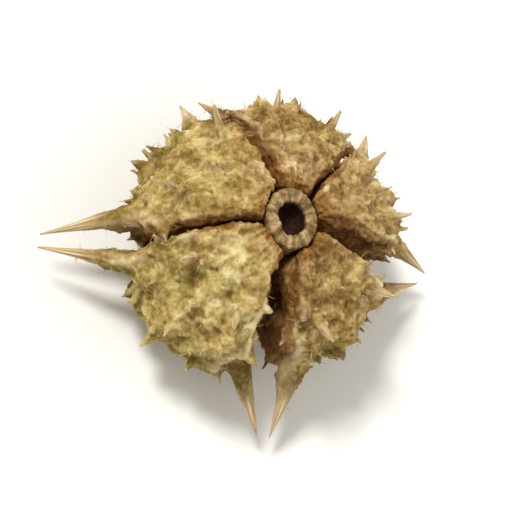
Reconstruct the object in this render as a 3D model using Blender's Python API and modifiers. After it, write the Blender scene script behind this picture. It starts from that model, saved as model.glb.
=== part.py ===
"""Dried land caltrop fruit: five spiny nutlets (mericarps) round a broken, hollow stalk end.

The fruit's axis is +Z with the stalk end up. Lengths are in metres. Each nutlet is a wedge
like an orange segment, with two long horns beside the clefts, two short spines near the
stalk end and teeth (tubercles) along its back. Horns of neighbouring nutlets lean towards
each other over the cleft, so the whole fruit is a five-pointed star.
"""
import math
import random

import bmesh
import bpy
from mathutils import Matrix, Vector, noise

MM = 0.001
SEED = 11

# The whole fruit
BODY_RADIUS = 5.65 * MM      # out to the back of a nutlet, without horns and teeth
SHOULDER_Z = 6.50 * MM       # highest part of a nutlet, beside the stalk end
CLEFT_GAP = 0.32 * MM        # between neighbouring nutlets at the axis
CLEFT_AZIMUTHS = (-98.0, -12.5, 46.0, 110.0, 186.0)   # degrees, seen from the stalk end
CLEFT_OPENINGS = (17.0, 16.0, 0.5, 1.0, 2.0)          # degrees by which each cleft has sprung open
CLEFT_HORN_REACH = (0.86, 0.93, 0.90, 0.80, 1.05)     # horns beside each, as a share of the reach
CLEFT_HORN_TURN = (10.0, 7.5, 0.0, 0.0, -5.0)         # degrees by which their tips swing round
NUTLET_SIZES = (0.90, 0.99, 0.98, 0.975, 1.05)        # each back, as a share of the body's radius
WANDER = 0.40 * MM           # how far a cleft strays from its plane
WANDER_PITCH = 1.6 * MM

# The wedge of one nutlet
INNER_RADIUS = 0.46 * MM     # the thin edge at the axis
SOCKET_RADIUS = 1.50 * MM    # the same edge where it makes room for the stalk end
SOCKET_LOW_Z = 3.9 * MM
SOCKET_HIGH_Z = 4.9 * MM
UNDERSIDE_Z = -0.16 * MM     # below the floor, where the flat spot is pressed level
TOP_FALL = 2.0 * MM          # how far the top drops from the axis to the back
BOTTOM_RISE = 2.0 * MM       # how far the underside rises from the axis to the back
BOX_POWER = 6.2              # squareness of the wedge's edges
CREST_HEIGHT = 0.30 * MM     # the ridge down the middle of the back
CREST_WIDTH = 0.22           # as a share of half the nutlet's angle
LUMP_HEIGHT = 0.34 * MM
LUMP_PITCH = 0.85 * MM
MOUND_HEIGHT = 0.24 * MM     # the swelling that each tooth stands on
MOUND_WIDTH = 0.46 * MM
CELLS_PER_EDGE = 10          # squares along each edge of the cage

# Horns, two to a nutlet
HORN_SIDES = 8
HORN_RINGS = 7
HORN_ROOT_REACH = 3.8 * MM   # from the axis to the sunk root, along the cleft
HORN_ROOT_ASIDE = 1.36 * MM  # from the cleft's nearer side to the root
HORN_ROOT_Z = 3.4 * MM
HORN_TIP_REACH = 9.0 * MM
HORN_TIP_ASIDE = 0.29 * MM
HORN_TIP_Z = 1.35 * MM
HORN_THICKNESS = 1.02 * MM   # radius at the root
HORN_TIP_THICKNESS = 0.055 * MM
HORN_TAPER = 1.45
HORN_HEIGHT = 1.12           # a horn is a little taller than wide

# Short spines near the stalk end, two to a nutlet
SPINE_SIDES = 6
SPINE_RINGS = 4
SPINE_ROOT_RADIUS = 3.4 * MM
SPINE_ROOT_Z = 4.8 * MM
SPINE_ROOT_ANGLE = 0.50      # as a share of half the nutlet's angle
SPINE_TIP_RADIUS = 5.5 * MM
SPINE_TIP_Z = 6.45 * MM
SPINE_THICKNESS = 0.68 * MM
SPINE_TIP_THICKNESS = 0.05 * MM
SPINE_TAPER = 1.3

# Teeth in rows from the top of a nutlet down its back. A row lies at a share of half the
# nutlet's angle, and its teeth at tilts in degrees above the horizontal.
TOOTH_SIDES = 5
TOOTH_HEIGHT = 0.46 * MM
TOOTH_RADIUS = 0.42 * MM
TOOTH_TIP_RADIUS = 0.07 * MM
TOOTH_SINK = 0.22 * MM       # how deep a tooth's foot is sunk in
TOP_TOOTH_HEIGHT = 0.55      # height of the topmost teeth, as a share of those on the back
TOOTH_ROWS = ((0.0, (78.0, 54.0, 31.0, 8.0, -16.0, -38.0)),
              (0.42, (66.0, 42.0, 19.0, -6.0, -30.0)),
              (-0.42, (66.0, 42.0, 19.0, -6.0, -30.0)),
              (0.84, (72.0, 44.0, -26.0)),
              (-0.84, (72.0, 44.0, -26.0)))

# The broken stalk end: a hollow ring on a short foot held between the nutlets
STALK_TOP_Z = 6.30 * MM
STALK_RIM_RADIUS = 1.20 * MM
STALK_HOLE_RADIUS = 0.66 * MM
STALK_OVAL = (0.93, 1.08)    # the ring is a little wider along Y
STALK_CROWN = 0.18 * MM      # how high the broken rim arches between its inner and outer edge
STALK_CROWN_STEPS = 4
STALK_HOLE_FLOOR_Z = 5.2 * MM
STALK_COLUMN_RADIUS = 0.16 * MM
STALK_FOOT_Z = 3.1 * MM
STALK_STEPS = 24

SMOOTH_ANGLE = math.radians(32.0)


def mix(low, high, share):
    """Value between two others, or between two points."""
    return low * (1.0 - share) + high * share


def ease(low, high, value):
    """Smooth step from 0 at low to 1 at high."""
    share = min(1.0, max(0.0, (value - low) / (high - low)))
    return share * share * (3.0 - 2.0 * share)


def polar(radius, azimuth, height):
    """Point at a distance from the axis, an azimuth in degrees and a height."""
    turn = math.radians(azimuth)
    return Vector((radius * math.cos(turn), radius * math.sin(turn), height))


def on_rounded_box(direction):
    """Point where a ray from the centre meets a box of half-side one with rounded edges."""
    spread = sum(abs(part) ** BOX_POWER for part in direction) ** (1.0 / BOX_POWER)
    return direction / spread


def ring_oval(azimuth):
    """How far the stalk end's oval lies out at an azimuth, as a share of its round radius."""
    turn = math.radians(azimuth)
    return 1.0 / math.hypot(math.cos(turn) / STALK_OVAL[0], math.sin(turn) / STALK_OVAL[1])


def cleft_stray(number, radius, height):
    """Degrees by which a cleft strays sideways at a distance from the axis and a height."""
    place = Vector((radius / WANDER_PITCH, height / WANDER_PITCH, 7.3 * number))
    stray = WANDER * noise.noise(place) * ease(0.8 * MM, 2.2 * MM, radius)
    return math.degrees(stray / radius)


class Nutlet:
    """Place, size and seeded draws of one of the five nutlets."""

    def __init__(self, number):
        following = (number + 1) % len(CLEFT_AZIMUTHS)
        self.name = f"mericarp_{number + 1}"
        self.cleft_numbers = (number, following)
        first = CLEFT_AZIMUTHS[number] + CLEFT_OPENINGS[number] / 2.0
        last = CLEFT_AZIMUTHS[following] - CLEFT_OPENINGS[following] / 2.0
        if last < first:
            last += 360.0
        self.middle = (first + last) / 2.0
        self.half = (last - first) / 2.0
        self.draw = random.Random(SEED + number)
        self.radius = BODY_RADIUS * NUTLET_SIZES[number] * self.draw.uniform(0.99, 1.01)
        self.noise_shift = Vector([self.draw.uniform(0.0, 50.0) for _ in range(3)])
        self.teeth = [self.tooth(across, tilt) for across, tilts in TOOTH_ROWS for tilt in tilts]

    def smooth_point(self, corner):
        """Point of the wedge without lumps, for a point of the rounded box."""
        share = (corner.x + 1.0) / 2.0
        top = SHOULDER_Z - TOP_FALL * share ** 2.4
        bottom = UNDERSIDE_Z + BOTTOM_RISE * share ** 2.2
        height = mix(bottom, top, (corner.z + 1.0) / 2.0)
        room = SOCKET_RADIUS * ring_oval(self.middle + corner.y * self.half) - INNER_RADIUS
        socket = room * ease(SOCKET_LOW_Z, SOCKET_HIGH_Z, height)
        inner = INNER_RADIUS + socket * (1.0 - share) ** 2
        crest = CREST_HEIGHT * math.exp(-(corner.y / CREST_WIDTH) ** 2) * ease(0.6, 1.0, share)
        radius = mix(inner, self.radius, share) + crest
        reach = self.half - math.degrees(math.asin(CLEFT_GAP / 2.0 / radius))
        stray = mix(*(cleft_stray(number, radius, height) for number in self.cleft_numbers),
                    (corner.y + 1.0) / 2.0)
        return polar(radius, self.middle + corner.y * reach + stray, height)

    def relief(self, point):
        """Height of the surface's lumps and of the swellings under the teeth at a point."""
        lump = LUMP_HEIGHT * noise.noise(point / LUMP_PITCH + self.noise_shift)
        mound = sum(math.exp(-((point - tooth["foot"]).length / MOUND_WIDTH) ** 2)
                    for tooth in self.teeth)
        return lump + MOUND_HEIGHT * min(1.0, mound)

    def skin_frame(self, across, tilt):
        """Point of the top or back and its outward normal, by share across and tilt in degrees."""
        def skin(sideways, angle):
            ray = Vector((math.cos(math.radians(angle)), sideways, math.sin(math.radians(angle))))
            return self.smooth_point(on_rounded_box(ray))

        here = skin(across, tilt)
        beside = skin(across + 0.02, tilt)
        above = skin(across, tilt + 1.0)
        return here, (beside - here).cross(above - here).normalized()

    def tooth(self, across, tilt):
        """Foot, heading, size and height of the tooth near a place on the skin."""
        draw = self.draw
        foot, normal = self.skin_frame(across + draw.uniform(-0.05, 0.05),
                                       tilt + draw.uniform(-4.0, 4.0))
        lean = Vector([draw.uniform(-0.18, 0.18) for _ in range(3)])
        size = draw.uniform(0.8, 1.15)
        height = TOOTH_HEIGHT * size * mix(1.0, TOP_TOOTH_HEIGHT, ease(0.0, 80.0, tilt))
        return {"foot": foot, "heading": (normal + lean).normalized(), "size": size, "height": height}


def new_object(name, mesh_data, collection):
    """Object for a finished bmesh, linked to a collection."""
    mesh = bpy.data.meshes.new(name)
    mesh_data.to_mesh(mesh)
    mesh_data.free()
    thing = bpy.data.objects.new(name, mesh)
    collection.objects.link(thing)
    return thing


def wedge(nutlet, collection):
    """Lumpy wedge with the flat spot it rests on."""
    cage = bmesh.new()
    bmesh.ops.create_cube(cage, size=2.0)
    bmesh.ops.subdivide_edges(cage, edges=cage.edges, cuts=CELLS_PER_EDGE - 1, use_grid_fill=True)
    for vert in cage.verts:
        corner = on_rounded_box(vert.co)
        vert.co = nutlet.smooth_point(corner)
    cage.normal_update()
    bmesh.ops.recalc_face_normals(cage, faces=cage.faces)
    cage.normal_update()
    moves = {}
    for vert in cage.verts:
        outer = ease(1.6 * MM, 3.4 * MM, vert.co.xy.length)
        moves[vert] = vert.normal * nutlet.relief(vert.co) * mix(0.25, 1.0, outer)
    for vert, move in moves.items():
        along = polar(1.0, nutlet.middle + 90.0, 0.0)
        sideways = along * move.dot(along)
        vert.co += move - sideways * 0.75
        vert.co.z = max(0.0, vert.co.z)
    return new_object(nutlet.name, cage, collection)


def spike(name, points, radii, sides, stretch, collection):
    """Bent, tapering spike: a ring is extruded from point to point and shrunk on the way."""
    heading = (points[1] - points[0]).normalized()
    turned = heading.to_track_quat("Z", "Y").to_matrix().to_4x4()
    body = bmesh.new()
    bmesh.ops.create_circle(body, cap_ends=True, radius=radii[0], segments=sides,
                            matrix=Matrix.Translation(points[0]) @ turned)
    end = body.faces[:][0]
    for index in range(1, len(points)):
        grown = bmesh.ops.extrude_face_region(body, geom=[end])["geom"]
        if index > 1:
            bmesh.ops.delete(body, geom=[end], context="FACES_ONLY")
        ring = [part for part in grown if isinstance(part, bmesh.types.BMVert)]
        end = next(part for part in grown if isinstance(part, bmesh.types.BMFace))
        bmesh.ops.translate(body, verts=ring, vec=points[index] - points[index - 1])
        shrink = radii[index] / radii[index - 1]
        bmesh.ops.scale(body, verts=ring, vec=(shrink, shrink, shrink),
                        space=Matrix.Translation(-points[index]))
    for vert in body.verts:
        nearest = min(points, key=lambda point: (point - vert.co).length)
        vert.co.z = nearest.z + (vert.co.z - nearest.z) * stretch
    bmesh.ops.recalc_face_normals(body, faces=body.faces)
    return new_object(name, body, collection)


def tapered(thick, thin, power, count):
    """Radii that fall from a thick root to a thin tip, hollowing in the side line."""
    return [thin + (thick - thin) * (1.0 - step / (count - 1)) ** power for step in range(count)]


def horns(nutlet, collection):
    """Two long horns, whose tips lean towards the clefts on either side."""
    for number, side in zip(nutlet.cleft_numbers, (1.0, -1.0)):
        draw = nutlet.draw
        cleft = CLEFT_AZIMUTHS[number]
        aside = polar(side, cleft + 90.0, 0.0)
        opening = HORN_ROOT_REACH * math.sin(math.radians(CLEFT_OPENINGS[number] / 2.0))
        reach = HORN_TIP_REACH * CLEFT_HORN_REACH[number] * draw.uniform(0.96, 1.04)
        tip_z = HORN_TIP_Z + draw.uniform(-0.5, 0.5) * MM
        root = polar(HORN_ROOT_REACH, cleft, HORN_ROOT_Z) + aside * (HORN_ROOT_ASIDE + opening)
        tip = polar(reach, cleft + CLEFT_HORN_TURN[number], tip_z) + aside * HORN_TIP_ASIDE
        bend = Vector((0.0, 0.0, draw.uniform(0.15, 0.5) * MM))
        shares = [step / (HORN_RINGS - 1) for step in range(HORN_RINGS)]
        points = [mix(root, tip, share) + bend * math.sin(math.pi * share) for share in shares]
        radii = tapered(HORN_THICKNESS, HORN_TIP_THICKNESS, HORN_TAPER, HORN_RINGS)
        spike("horn", points, radii, HORN_SIDES, HORN_HEIGHT, collection)


def short_spines(nutlet, collection):
    """Two short spines that point outwards and towards the stalk end."""
    for side in (1.0, -1.0):
        draw = nutlet.draw
        azimuth = nutlet.middle + side * nutlet.half * SPINE_ROOT_ANGLE
        root = polar(SPINE_ROOT_RADIUS, azimuth, SPINE_ROOT_Z)
        reach = SPINE_TIP_RADIUS * draw.uniform(0.95, 1.04)
        tip_z = SPINE_TIP_Z + draw.uniform(-0.35, 0.25) * MM
        tip = polar(reach, azimuth + side * draw.uniform(-2.0, 4.0), tip_z)
        shares = [step / (SPINE_RINGS - 1) for step in range(SPINE_RINGS)]
        points = [mix(root, tip, share) for share in shares]
        radii = tapered(SPINE_THICKNESS, SPINE_TIP_THICKNESS, SPINE_TAPER, SPINE_RINGS)
        spike("short_spine", points, radii, SPINE_SIDES, 1.0, collection)


def teeth(nutlet, collection):
    """Pointed tubercles, each on its swelling of the top or back."""
    for tooth in nutlet.teeth:
        length = TOOTH_SINK + MOUND_HEIGHT + tooth["height"]
        middle = tooth["foot"] + tooth["heading"] * (length / 2.0 - TOOTH_SINK)
        turned = tooth["heading"].to_track_quat("Z", "Y").to_matrix().to_4x4()
        body = bmesh.new()
        bmesh.ops.create_cone(body, cap_ends=True, segments=TOOTH_SIDES,
                              radius1=TOOTH_RADIUS * tooth["size"], radius2=TOOTH_TIP_RADIUS,
                              depth=length, matrix=Matrix.Translation(middle) @ turned)
        new_object("tooth", body, collection)


def fuse(body, growths):
    """Joins everything in a collection to the body, and removes the collection."""
    union = body.modifiers.new("growths", "BOOLEAN")
    union.operation = "UNION"
    union.operand_type = "COLLECTION"
    union.collection = growths
    union.solver = "EXACT"
    bpy.context.view_layer.update()
    evaluated = body.evaluated_get(bpy.context.evaluated_depsgraph_get())
    fused = bpy.data.meshes.new_from_object(evaluated)
    body.modifiers.remove(union)
    body.data = fused
    for thing in list(growths.objects):
        bpy.data.objects.remove(thing)
    bpy.data.collections.remove(growths)


def grow_nutlet(number, fruit):
    """One nutlet with its horns, short spines and teeth in one closed body."""
    nutlet = Nutlet(number)
    body = wedge(nutlet, fruit)
    growths = bpy.data.collections.new("growths")
    bpy.context.scene.collection.children.link(growths)
    horns(nutlet, growths)
    short_spines(nutlet, growths)
    teeth(nutlet, growths)
    fuse(body, growths)
    return body


def stalk_end(fruit):
    """Hollow ring where the stalk broke off, on a foot between the nutlets' inner edges."""
    wall_middle = (STALK_RIM_RADIUS + STALK_HOLE_RADIUS) / 2.0
    half_wall = (STALK_RIM_RADIUS - STALK_HOLE_RADIUS) / 2.0
    turns = [math.pi * (1.0 - step / STALK_CROWN_STEPS) for step in range(STALK_CROWN_STEPS + 1)]
    crown = [(wall_middle + half_wall * math.cos(turn),
              STALK_TOP_Z - STALK_CROWN * (1.0 - math.sin(turn))) for turn in turns]
    outline = ((0.0, STALK_HOLE_FLOOR_Z),
               (STALK_HOLE_RADIUS * 0.75, STALK_HOLE_FLOOR_Z + 0.06 * MM),
               (STALK_HOLE_RADIUS * 0.95, STALK_HOLE_FLOOR_Z + 0.35 * MM),
               *crown,
               (STALK_RIM_RADIUS * 0.96, SOCKET_HIGH_Z + 0.15 * MM),
               (STALK_RIM_RADIUS * 0.64, SOCKET_HIGH_Z - 0.40 * MM),
               (STALK_COLUMN_RADIUS * 1.4, SOCKET_LOW_Z + 0.10 * MM),
               (STALK_COLUMN_RADIUS, SOCKET_LOW_Z - 0.15 * MM),
               (STALK_COLUMN_RADIUS * 0.8, STALK_FOOT_Z + 0.05 * MM),
               (0.0, STALK_FOOT_Z))
    profile = bmesh.new()
    verts = [profile.verts.new((radius, 0.0, height)) for radius, height in outline]
    for start, end in zip(verts, verts[1:]):
        profile.edges.new((start, end))
    stalk = new_object("pedicel_stub", profile, fruit)
    turn = stalk.modifiers.new("turn", "SCREW")
    turn.axis = "Z"
    turn.steps = STALK_STEPS
    turn.render_steps = STALK_STEPS
    turn.use_merge_vertices = True
    turn.merge_threshold = 0.00001
    return stalk


def dry_husk(name, colour, roughness):
    """Dull, dry plant husk in one colour."""
    material = bpy.data.materials.new(name)
    material.use_nodes = True
    shader = material.node_tree.nodes["Principled BSDF"]
    shader.inputs["Base Color"].default_value = (*colour, 1.0)
    shader.inputs["Roughness"].default_value = roughness
    shader.inputs["Metallic"].default_value = 0.0
    return material


def shift_to_origin(pieces):
    """Shift that stands the box round the pieces on the origin, centred on it."""
    corners = [vert.co for piece in pieces for vert in piece.data.vertices]
    low = Vector([min(corner[axis] for corner in corners) for axis in range(3)])
    high = Vector([max(corner[axis] for corner in corners) for axis in range(3)])
    return Matrix.Translation((-(low.x + high.x) / 2.0, -(low.y + high.y) / 2.0, -low.z))


def main():
    """Builds the fruit."""
    for thing in list(bpy.data.objects):
        bpy.data.objects.remove(thing)
    fruit = bpy.data.collections.new("caltrop_fruit")
    bpy.context.scene.collection.children.link(fruit)
    nutlets = [grow_nutlet(number, fruit) for number in range(len(CLEFT_AZIMUTHS))]
    stalk = stalk_end(fruit)
    shift = shift_to_origin(nutlets)
    straw = (0.47, 0.36, 0.15)
    for number, nutlet in enumerate(nutlets):
        nutlet.data.transform(shift)
        tint = 1.0 + 0.06 * math.sin(2.0 * number)
        nutlet.data.materials.clear()
        colour = [part * tint for part in straw]
        nutlet.data.materials.append(dry_husk(nutlet.name + "_husk", colour, 0.8))
        nutlet.data.set_sharp_from_angle(angle=SMOOTH_ANGLE)
    stalk.location = shift.translation
    stalk.scale = (*STALK_OVAL, 1.0)
    stalk.data.materials.append(dry_husk("stalk_fibre", (0.36, 0.24, 0.12), 0.75))


main()
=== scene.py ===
"""Looks of a dried land caltrop fruit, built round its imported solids.

Each of the five nutlets is rebuilt with a fine skin in the same form as its solid. A cube's
net is shaped into the wedge, the horns, short spines and teeth are pulled out of it, and a
raised net and grains are added. The broken stalk end is a turned, fibrous ring. Lengths are
in metres, and the fruit's axis is +Z with the stalk end up.
"""
import logging
import math
import random
from dataclasses import dataclass, field
from enum import Enum

import bmesh
import bpy
import numpy as np
from mathutils import Matrix, Vector, noise


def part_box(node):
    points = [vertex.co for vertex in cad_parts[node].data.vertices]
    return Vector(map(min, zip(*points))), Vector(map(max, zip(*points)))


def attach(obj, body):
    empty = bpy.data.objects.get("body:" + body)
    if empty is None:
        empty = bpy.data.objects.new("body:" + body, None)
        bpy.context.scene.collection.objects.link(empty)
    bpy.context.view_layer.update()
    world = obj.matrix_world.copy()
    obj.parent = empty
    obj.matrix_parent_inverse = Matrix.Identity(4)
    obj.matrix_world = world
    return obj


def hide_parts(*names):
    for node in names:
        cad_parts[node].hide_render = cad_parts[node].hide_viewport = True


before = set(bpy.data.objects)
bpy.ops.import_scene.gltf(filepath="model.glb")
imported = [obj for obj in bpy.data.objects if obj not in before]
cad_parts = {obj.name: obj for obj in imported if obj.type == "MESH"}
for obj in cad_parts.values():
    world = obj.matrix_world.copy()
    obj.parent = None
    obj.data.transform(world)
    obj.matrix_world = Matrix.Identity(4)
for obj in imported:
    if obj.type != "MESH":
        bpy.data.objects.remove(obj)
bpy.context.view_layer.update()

MM = 0.001
ROOT_BODY = "root"
LOG = logging.getLogger("caltrop")
# Size, greenness, tan and lightness of each nutlet, counted from the widest cleft; the lightness is
# partly the nutlet's own tone and partly painted shade
NUTLETS = ((0.90, 0.35, 0.25, -0.15), (0.99, 0.12, 0.45, 0.06), (0.98, 0.10, 0.40, -0.20),
           (0.975, 0.20, 0.0, -0.16), (1.05, 0.35, 0.0, 0.12))


class Kind(Enum):
    """What a growth on the skin is."""

    HORN = "horn"
    SHORT_SPINE = "short_spine"
    TOOTH = "tooth"


def mix(low: float, high: float, share: float) -> float:
    """Value, point or array between two others."""
    return low * (1.0 - share) + high * share


def ease(low: float, high: float, value: np.ndarray) -> np.ndarray:
    """Smooth step.

    Args:
        low: Value where the step begins.
        high: Value where the step is complete.
        value: Number or array to look up.

    Returns:
        0 below low, 1 above high and a smooth curve between.
    """
    share = np.clip((value - low) / (high - low), 0.0, 1.0)
    return share * share * (3.0 - 2.0 * share)


def soft_max(first: np.ndarray, second: np.ndarray, blend: float) -> np.ndarray:
    """Larger of two arrays, rounded where they are close.

    Args:
        first: One set of values.
        second: The other set.
        blend: Distance over which one passes into the other.

    Returns:
        The rounded larger values.
    """
    share = np.clip(0.5 + 0.5 * (second - first) / blend, 0.0, 1.0)
    return mix(first, second, share) + blend * share * (1.0 - share)


def polar(radius: float, azimuth: float, height: float) -> Vector:
    """Point at a distance from the axis, an azimuth in degrees and a height."""
    turn = math.radians(azimuth)
    return Vector((radius * math.cos(turn), radius * math.sin(turn), height))


def unit(vectors: np.ndarray) -> np.ndarray:
    """Rows scaled to length one."""
    return vectors / np.maximum(np.linalg.norm(vectors, axis=-1, keepdims=True), 1e-12)


def read_points(mesh: bpy.types.Mesh) -> np.ndarray:
    """Vertex positions of a mesh, a row each."""
    points = np.empty(len(mesh.vertices) * 3)
    mesh.vertices.foreach_get("co", points)
    return points.reshape(-1, 3)


def read_normals(mesh: bpy.types.Mesh) -> np.ndarray:
    """Vertex normals of a mesh, a row each."""
    normals = np.empty(len(mesh.vertices) * 3)
    mesh.vertices.foreach_get("normal", normals)
    return normals.reshape(-1, 3)


def write_points(mesh: bpy.types.Mesh, points: np.ndarray) -> None:
    """Moves the vertices of a mesh.

    Args:
        mesh: The mesh to change.
        points: A row for each vertex.
    """
    mesh.vertices.foreach_set("co", points.ravel())
    mesh.update()


def write_attribute(mesh: bpy.types.Mesh, name: str, values: np.ndarray) -> None:
    """Stores a number for each vertex, which materials read by name.

    Args:
        mesh: The mesh to change.
        name: Name of the attribute.
        values: A number for each vertex.
    """
    attribute = mesh.attributes.new(name=name, type="FLOAT", domain="POINT")
    attribute.data.foreach_set("value", values.astype(np.float32))


def perlin(points: np.ndarray, pitch: float, shift: Vector) -> np.ndarray:
    """Smooth seeded noise.

    Args:
        points: A row for each place.
        pitch: Size of the lumps.
        shift: Where in the noise the piece lies.

    Returns:
        A number from about -1 to 1 for each place.
    """
    places = points / pitch + np.array(shift)
    return np.array([noise.noise(place) for place in places.tolist()])


def cells(points: np.ndarray, pitch: float, shift: Vector) -> tuple[np.ndarray, np.ndarray]:
    """Places in a seeded cellular pattern.

    Args:
        points: A row for each place.
        pitch: Size of the cells.
        shift: Where in the pattern the piece lies.

    Returns:
        Distance from the nearest cell's middle, and distance from the nearest border, in cells.
    """
    places = points / pitch + np.array(shift)
    distances = np.array([noise.voronoi(place)[0][:2] for place in places.tolist()])
    return distances[:, 0], distances[:, 1] - distances[:, 0]


def new_piece(name: str, shape: bmesh.types.BMesh) -> bpy.types.Object:
    """Object for a finished bmesh, at the origin.

    Args:
        name: The piece's name.
        shape: The bmesh, which is freed.

    Returns:
        The linked object.
    """
    mesh = bpy.data.meshes.new(name)
    shape.to_mesh(mesh)
    shape.free()
    piece = bpy.data.objects.new(name, mesh)
    bpy.context.scene.collection.objects.link(piece)
    return piece


def linear(code: str) -> tuple[float, float, float, float]:
    """Linear colour of an sRGB hex code.

    Args:
        code: Six hex digits after a hash.

    Returns:
        Red, green, blue and an alpha of one.
    """
    parts = [int(code[start:start + 2], 16) / 255.0 for start in (1, 3, 5)]
    bent = [part / 12.92 if part <= 0.04045 else ((part + 0.055) / 1.055) ** 2.4 for part in parts]
    return (*bent, 1.0)


def plain_material(name: str, roughness: float, specular: float = 0.5) -> bpy.types.Material:
    """Material of one dullness and gloss.

    Args:
        name: The material's name.
        roughness: Dullness from 0 to 1.
        specular: Strength of the gloss.

    Returns:
        The material, whose colour isn't set yet.
    """
    material = bpy.data.materials.new(name)
    material.use_nodes = True
    shader = material.node_tree.nodes["Principled BSDF"]
    shader.inputs["Roughness"].default_value = roughness
    shader.inputs["Specular IOR Level"].default_value = specular
    return material


def add_node(tree: bpy.types.NodeTree, kind: str, settings: dict | None = None,
             links: dict | None = None) -> bpy.types.Node:
    """Adds a node with its settings and links.

    Args:
        tree: The material's tree.
        kind: Blender's name for the node.
        settings: Values by property name, by socket name or number, or a colour ramp's stops.
        links: Output sockets by input socket name or number.

    Returns:
        The new node.
    """
    node = tree.nodes.new(kind)
    for name, value in (settings or {}).items():
        if name == "stops":
            marks = node.color_ramp.elements
            for index, (place, code) in enumerate(value):
                mark = marks[index] if index < len(marks) else marks.new(place)
                mark.position = place
                mark.color = linear(code)
        elif isinstance(name, str) and hasattr(node, name):
            setattr(node, name, value)
        else:
            node.inputs[name].default_value = value
    for name, socket in (links or {}).items():
        tree.links.new(socket, node.inputs[name])
    return node


@dataclass(frozen=True)
class Coat:
    """Coat of colour: its stops, the tone that picks among them and how much of it shows."""

    stops: tuple
    tone: bpy.types.NodeSocket
    amount: bpy.types.NodeSocket | None = None


def paint(tree: bpy.types.NodeTree, coats: list[Coat]) -> bpy.types.NodeSocket:
    """Lays coats of colour over each other.

    Args:
        tree: The material's tree.
        coats: The coats from the lowest to the topmost. The lowest needs no amount.

    Returns:
        The colour that shows.
    """
    colour = None
    for coat in coats:
        shade = add_node(tree, "ShaderNodeValToRGB", {"stops": coat.stops},
                         {"Fac": coat.tone}).outputs["Color"]
        if colour is None:
            colour = shade
        else:
            colour = add_node(tree, "ShaderNodeMix", {"data_type": "RGBA"},
                              {"Factor": coat.amount, "A": colour, "B": shade}).outputs["Result"]
    return colour


def grains(tree: bpy.types.NodeTree, layers: tuple[tuple[float, float], ...],
           place: bpy.types.NodeSocket) -> bpy.types.NodeSocket:
    """Sum of fine noises.

    Args:
        tree: The material's tree.
        layers: Size of the grains in metres and their weight, for each noise.
        place: Where the noise is read.

    Returns:
        The weighted sum, which lies round half the sum of the weights.
    """
    total = None
    for size, weight in layers:
        layer = add_node(tree, "ShaderNodeTexNoise",
                         {"Scale": 1.0 / size, "Detail": 3.0, "Roughness": 0.62}, {"Vector": place})
        step = add_node(tree, "ShaderNodeMath", {"operation": "MULTIPLY_ADD", 1: weight, 2: 0.0},
                        {0: layer.outputs["Fac"]} if total is None
                        else {0: layer.outputs["Fac"], 2: total})
        total = step.outputs[0]
    return total


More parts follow.
